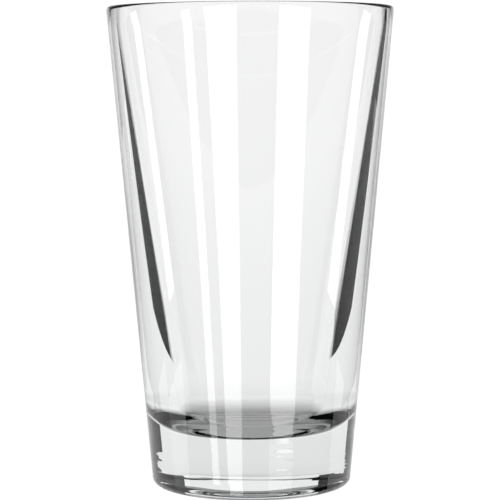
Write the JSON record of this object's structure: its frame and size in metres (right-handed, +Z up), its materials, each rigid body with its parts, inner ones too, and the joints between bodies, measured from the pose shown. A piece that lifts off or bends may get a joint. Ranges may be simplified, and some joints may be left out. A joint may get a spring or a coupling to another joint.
{
  "type": "pint glass",
  "caption": "Straight-sided conical pint glass in clear pressed glass, with a rounded lip, thick tapering walls and a heavy solid base.",
  "frame": {"origin": "centre of the base, on the surface that the glass stands on", "axes": "+Z up along the axis of the glass; round about Z, so +X and +Y are free"},
  "size_m": [0.089, 0.089, 0.149],
  "materials": {
    "clear_glass": "clear, fire-polished"
  },
  "bodies": {
    "root": {"glass_body": "clear_glass"}
  },
  "joints": []
}
